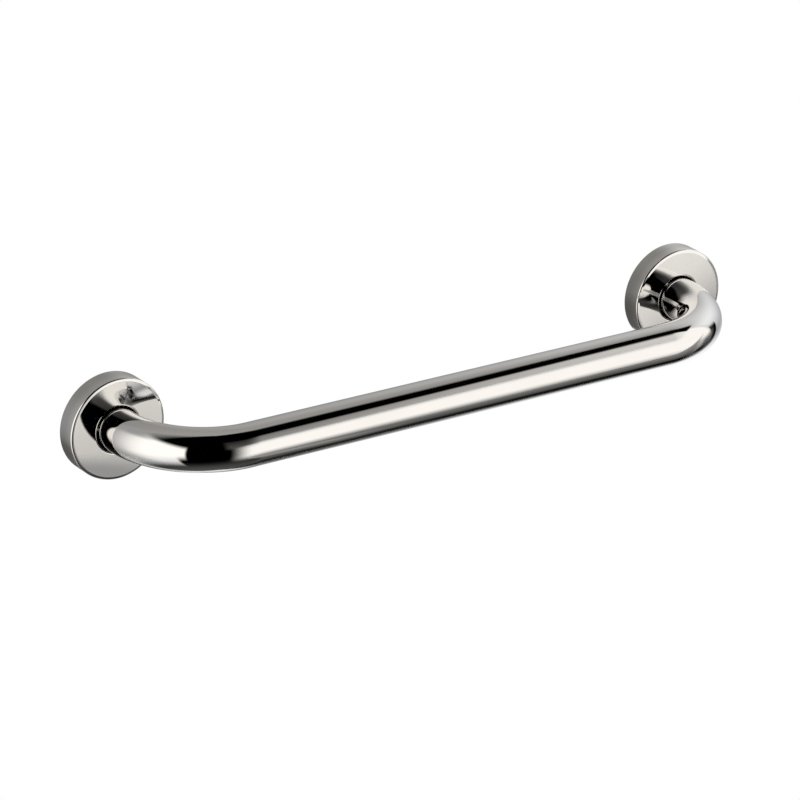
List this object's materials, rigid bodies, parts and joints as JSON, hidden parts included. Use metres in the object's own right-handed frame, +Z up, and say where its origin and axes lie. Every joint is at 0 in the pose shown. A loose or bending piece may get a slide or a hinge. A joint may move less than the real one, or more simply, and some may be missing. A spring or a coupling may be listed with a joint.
{
  "type": "grab bar",
  "caption": "Straight round grab bar with a quarter bend at each end, welded to round wall plates that are hidden under pressed covers which slide forward along the legs.",
  "frame": {"origin": "on the wall face, midway between the axes of the two legs", "axes": "+X along the bar to the right as seen from the room, +Y into the wall, +Z up"},
  "size_m": [0.555, 0.102, 0.075],
  "materials": {
    "polished_tube": "mirror-polished stainless steel",
    "polished_cover": "mirror-polished face, finely lathe-polished side wall",
    "plate_steel": "cold-rolled mill finish",
    "weld_steel": "as welded, wire-brushed"
  },
  "bodies": {
    "bar": {"bar_tube": "polished_tube", "left_wall_plate": "plate_steel", "left_weld": "weld_steel", "right_wall_plate": "plate_steel", "right_weld": "weld_steel"},
    "left_cover": {"left_cover": "polished_cover"},
    "right_cover": {"right_cover": "polished_cover"}
  },
  "joints": [
    {"name": "left_cover_slide", "type": "slide", "parent": "bar", "child": "left_cover", "axis": [0, -1, 0], "range_m": [0, 0.014]},
    {"name": "right_cover_slide", "type": "slide", "parent": "bar", "child": "right_cover", "axis": [0, -1, 0], "range_m": [0, 0.014]}
  ]
}
